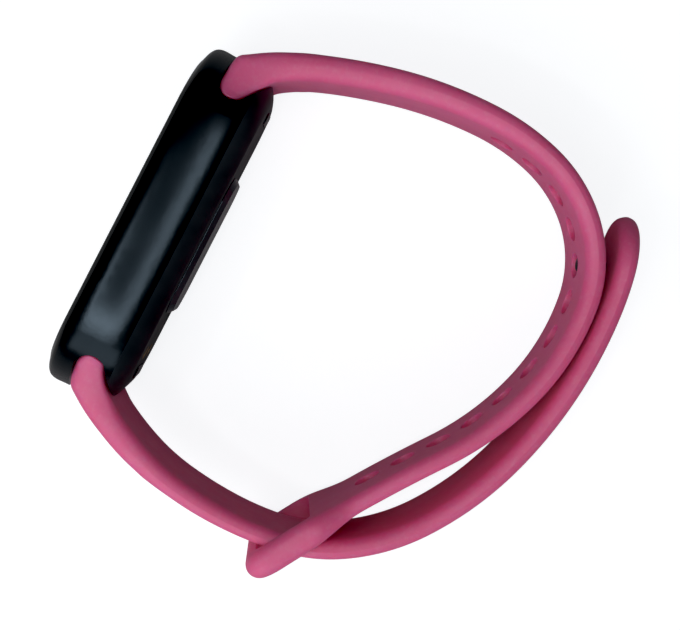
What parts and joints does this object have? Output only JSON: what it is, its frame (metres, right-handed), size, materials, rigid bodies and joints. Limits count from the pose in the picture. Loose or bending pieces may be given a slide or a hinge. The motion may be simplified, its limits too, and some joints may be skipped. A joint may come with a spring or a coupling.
{
  "type": "fitness tracker band",
  "caption": "Slim black capsule tracker on a two-piece silicone strap, closed into a ring with its loose tail pegged flat against the strap's outside.",
  "frame": {"origin": "centre of the heart-rate window's skin face, on the middle plane of the strap's width", "axes": "+X out of the window into the wrist opening, +Y along the case towards the strap with the holes, +Z across the strap's width"},
  "size_m": [0.064, 0.0687, 0.022],
  "materials": {
    "glass_black": "gloss",
    "case_black": "satin",
    "rear_black": "satin",
    "strap_pink": "matte",
    "lug_core": "satin",
    "peg_metal": "satin",
    "gold_contact": "satin",
    "steel": "satin",
    "board_green": "satin",
    "chip_black": "matte",
    "battery_foil": "satin",
    "flex_amber": "satin",
    "display_dark": "gloss",
    "adhesive_black": "matte",
    "gasket_grey": "matte",
    "sensor_dark": "gloss",
    "led_green": "gloss",
    "diode_dark": "gloss",
    "bracket_black": "matte"
  },
  "bodies": {
    "tracker": {"cover_glass": "glass_black", "glass_adhesive": "adhesive_black", "display_panel": "display_dark", "display_flex": "flex_amber", "case_frame": "case_black", "rear_gasket": "gasket_grey", "rear_cover": "rear_black", "upper_button_dome": "gasket_grey", "lower_button_dome": "gasket_grey", "sensor_window": "sensor_dark", "sensor_board": "board_green", "sensor_leds": "led_green", "photodiodes": "diode_dark", "light_baffle": "bracket_black", "charge_contacts": "gold_contact", "main_board": "board_green", "shield_can": "steel", "board_chips": "chip_black", "battery": "battery_foil", "battery_lead": "flex_amber", "inner_bracket": "bracket_black", "board_screws": "steel", "antenna": "flex_amber", "motor_base": "steel", "motor_lid": "steel", "motor_shaft": "steel", "hole_strap": "strap_pink", "upper_lug_core": "lug_core", "peg_strap_base": "strap_pink", "lower_lug_core": "lug_core"},
    "strap_tail": {"peg_strap_tail": "strap_pink", "closure_peg": "peg_metal"},
    "upper_button": {"upper_release_button": "case_black"},
    "lower_button": {"lower_release_button": "case_black"},
    "motor_weight": {"motor_rotor": "steel"}
  },
  "joints": [
    {"name": "tail_peel", "type": "hinge", "parent": "tracker", "child": "strap_tail", "pos_m": [0.05229, 0.00751, 0], "axis": [0, 0, -1], "range_deg": [0, 50], "stiffness_Nm_per_rad": 0.002},
    {"name": "upper_release", "type": "slide", "parent": "tracker", "child": "upper_button", "axis": [-1, 0, 0], "range_m": [0, 0.0005], "stiffness_N_per_m": 800},
    {"name": "lower_release", "type": "slide", "parent": "tracker", "child": "lower_button", "axis": [-1, 0, 0], "range_m": [0, 0.0005], "stiffness_N_per_m": 800},
    {"name": "motor_spin", "type": "hinge", "parent": "tracker", "child": "motor_weight", "pos_m": [-0.0062, -0.0106, -0.0022], "axis": [1, 0, 0], "continuous": true}
  ]
}
